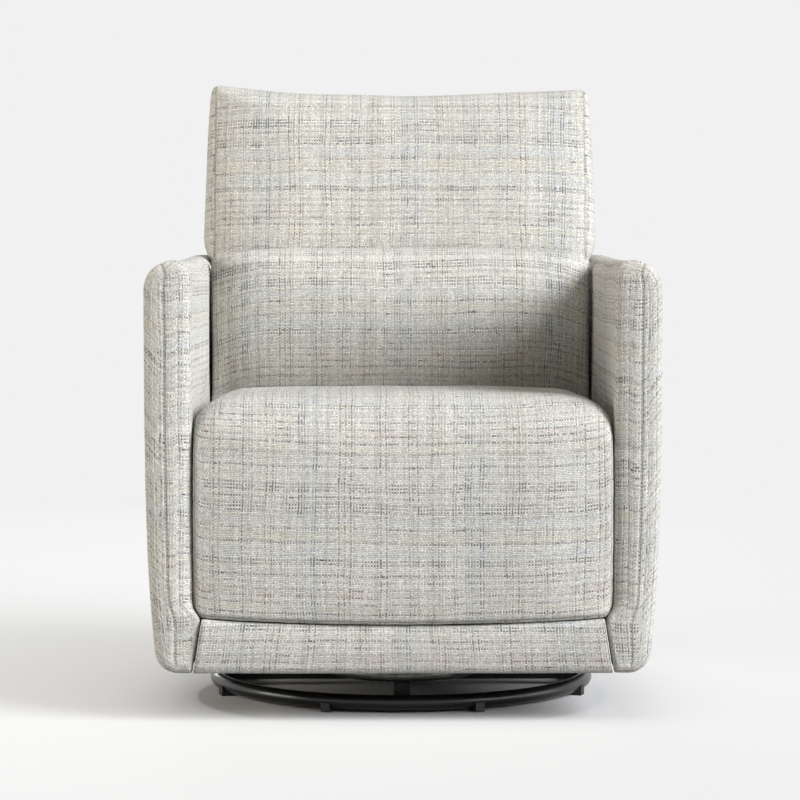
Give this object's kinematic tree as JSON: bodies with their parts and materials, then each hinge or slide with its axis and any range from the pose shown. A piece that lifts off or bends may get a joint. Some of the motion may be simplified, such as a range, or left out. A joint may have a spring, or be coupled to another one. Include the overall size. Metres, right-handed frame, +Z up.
{
  "type": "swivel glider chair",
  "caption": "Upholstered glider armchair with slab arms, seat, lumbar and back cushions on a ring base that swivels and glides.",
  "frame": {"origin": "on the floor, on the swivel axis, at the middle of the footprint", "axes": "+Z up along the swivel axis, -Y the way the chair faces, +X to the right seen from the front"},
  "size_m": [0.74, 0.8024, 0.9318],
  "materials": {
    "gloss_black_steel": "gloss black powder coat",
    "zinc_steel": "zinc plated",
    "bronze": "oiled bronze",
    "hardwood": "sawn and sanded",
    "plaid_fabric": "chunky tweed with a soft blue and charcoal plaid",
    "black_cloth": "plain black cloth",
    "rubber": "matte",
    "glide_plastic": "satin black"
  },
  "bodies": {
    "base": {"base_ring": "gloss_black_steel", "base_spokes": "gloss_black_steel", "floor_glides": "glide_plastic", "hub_disc": "gloss_black_steel", "lower_race": "zinc_steel", "pivot_bolt": "zinc_steel", "thrust_washer": "zinc_steel", "lock_nut": "zinc_steel"},
    "ball_set": {"ball_cage": "zinc_steel", "bearing_balls": "zinc_steel"},
    "carriage": {"upper_race": "zinc_steel", "pivot_bush": "bronze", "carriage_plate": "gloss_black_steel", "left_upright": "gloss_black_steel", "right_upright": "gloss_black_steel", "carriage_rivets": "zinc_steel", "upper_pivot_pins": "zinc_steel"},
    "front_links": {"front_left_link": "gloss_black_steel", "front_right_link": "gloss_black_steel", "front_left_bearings": "bronze", "front_right_bearings": "bronze"},
    "rear_links": {"rear_left_link": "gloss_black_steel", "rear_right_link": "gloss_black_steel", "rear_left_bearings": "bronze", "rear_right_bearings": "bronze"},
    "seat_unit": {"left_seat_rail": "gloss_black_steel", "right_seat_rail": "gloss_black_steel", "rail_ties": "gloss_black_steel", "lower_pivot_pins": "zinc_steel", "rail_bolts": "zinc_steel", "frame_bolts": "zinc_steel", "seat_springs": "zinc_steel", "spring_clips": "zinc_steel", "front_board": "hardwood", "rear_board": "hardwood", "left_side_board": "hardwood", "right_side_board": "hardwood", "spring_rail": "hardwood", "corner_blocks": "hardwood", "runners": "hardwood", "left_arm_panel": "hardwood", "right_arm_panel": "hardwood", "rear_panel": "hardwood", "shell_spacers": "hardwood", "post_spacers": "hardwood", "left_back_post": "hardwood", "right_back_post": "hardwood", "back_rails": "hardwood", "left_arm": "plaid_fabric", "right_arm": "plaid_fabric", "rear_shell": "plaid_fabric", "front_rail_pad": "plaid_fabric", "seat_cushion": "plaid_fabric", "lumbar_cushion": "plaid_fabric", "back_cushion": "plaid_fabric", "outside_back": "plaid_fabric", "dust_cover": "black_cloth", "back_webbing": "black_cloth", "glide_bumpers": "rubber"}
  },
  "joints": [
    {"name": "swivel", "type": "hinge", "parent": "base", "child": "carriage", "pos_m": [0, 0, 0.032], "axis": [0, 0, 1], "continuous": true},
    {"name": "ball_roll", "type": "hinge", "parent": "base", "child": "ball_set", "pos_m": [0, 0, 0.032], "axis": [0, 0, 1], "continuous": true},
    {"name": "glide", "type": "hinge", "parent": "carriage", "child": "front_links", "pos_m": [0, -0.11, 0.191], "axis": [1, 0, 0], "range_deg": [-30, 30]},
    {"name": "rear_glide", "type": "hinge", "parent": "carriage", "child": "rear_links", "pos_m": [0, 0.11, 0.191], "axis": [1, 0, 0], "range_deg": [-30, 30]},
    {"name": "seat_level", "type": "hinge", "parent": "front_links", "child": "seat_unit", "pos_m": [0, -0.11, 0.096], "axis": [1, 0, 0], "range_deg": [-30, 30]}
  ],
  "couplings": [
    {"joint": "ball_roll", "follows": "swivel", "ratio": 0.5},
    {"joint": "rear_glide", "follows": "glide", "ratio": 1},
    {"joint": "seat_level", "follows": "glide", "ratio": -1}
  ]
}
